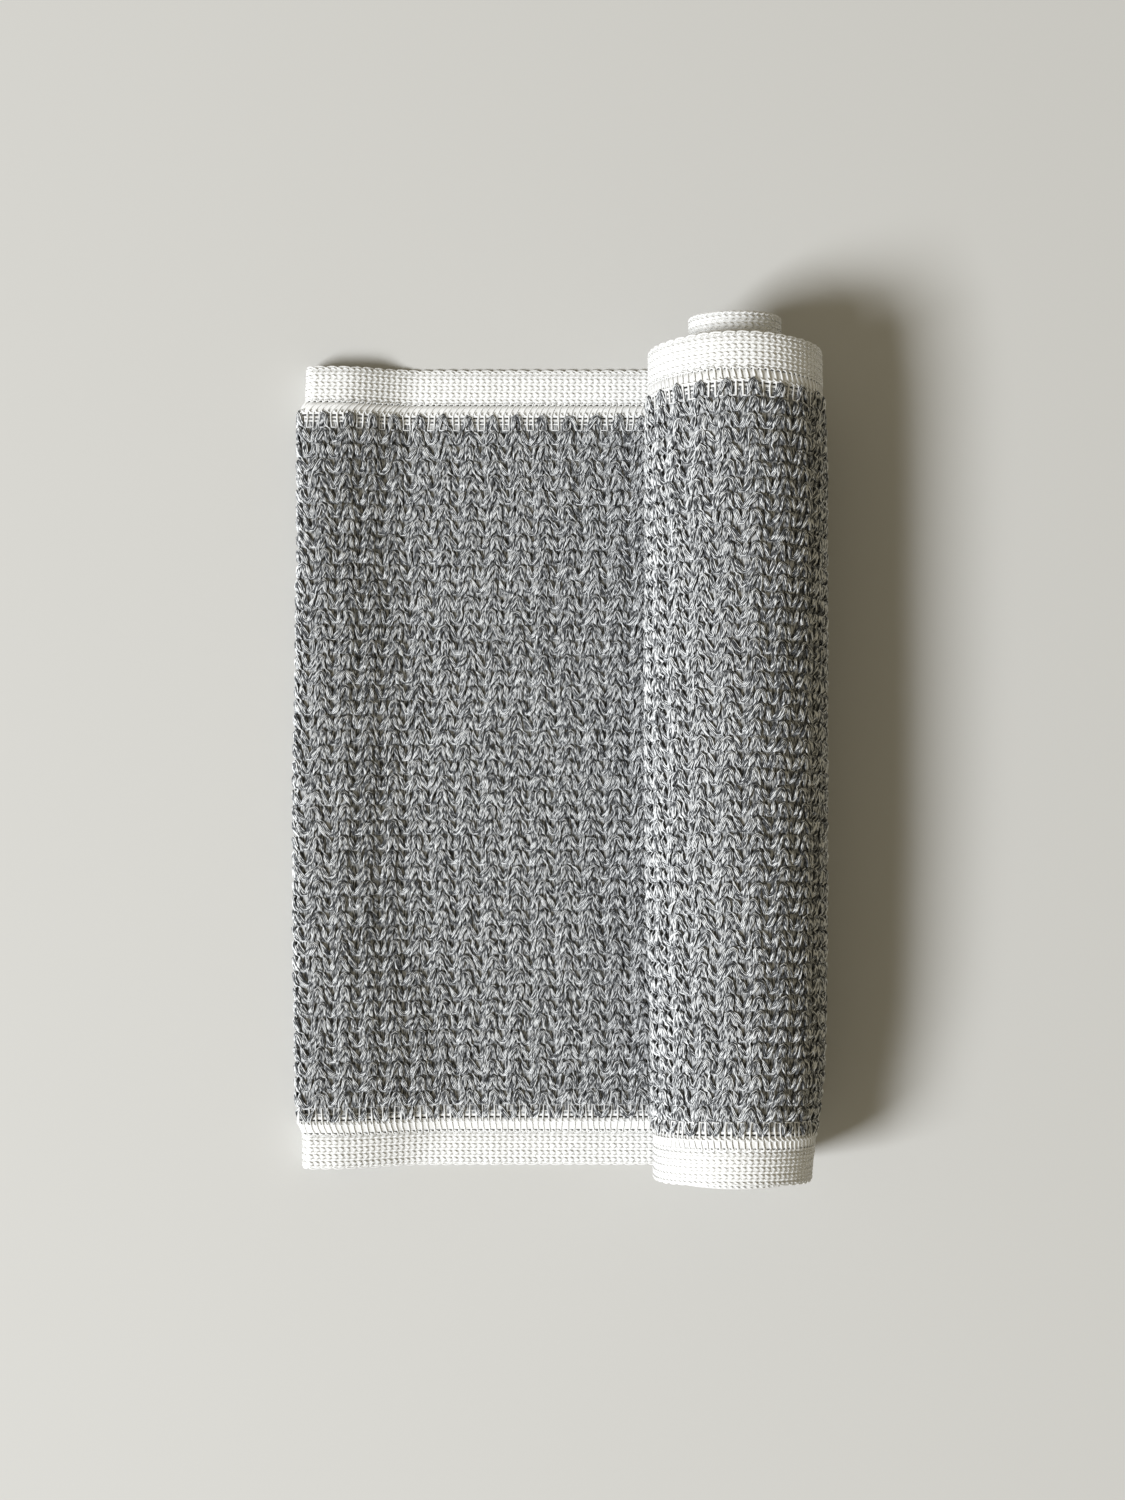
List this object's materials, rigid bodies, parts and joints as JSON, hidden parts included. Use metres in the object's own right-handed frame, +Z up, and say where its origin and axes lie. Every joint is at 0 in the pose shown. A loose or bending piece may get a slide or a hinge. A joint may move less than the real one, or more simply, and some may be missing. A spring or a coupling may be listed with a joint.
{
  "type": "rolled body scrub towel",
  "caption": "Knitted body scrub towel of looped grey pile with white net borders, rolled up from one end with the hemmed end left lying flat.",
  "frame": {"origin": "on the surface that the towel lies on, below the middle of its box", "axes": "+Z up, +Y across the towel and along the roll's axis, towards the end where the core stands out; the roll is on the +X side and the hemmed end on the -X side"},
  "size_m": [0.1842, 0.293, 0.0639],
  "materials": {
    "pile_yarn": "matt marl yarn of charcoal, mid grey and off-white plies, looped in zigzag rows",
    "ground_yarn": "matt off-white cotton yarn, knitted in fine chains with open rungs between"
  },
  "bodies": {
    "root": {"towel": "pile_yarn"}
  },
  "joints": []
}
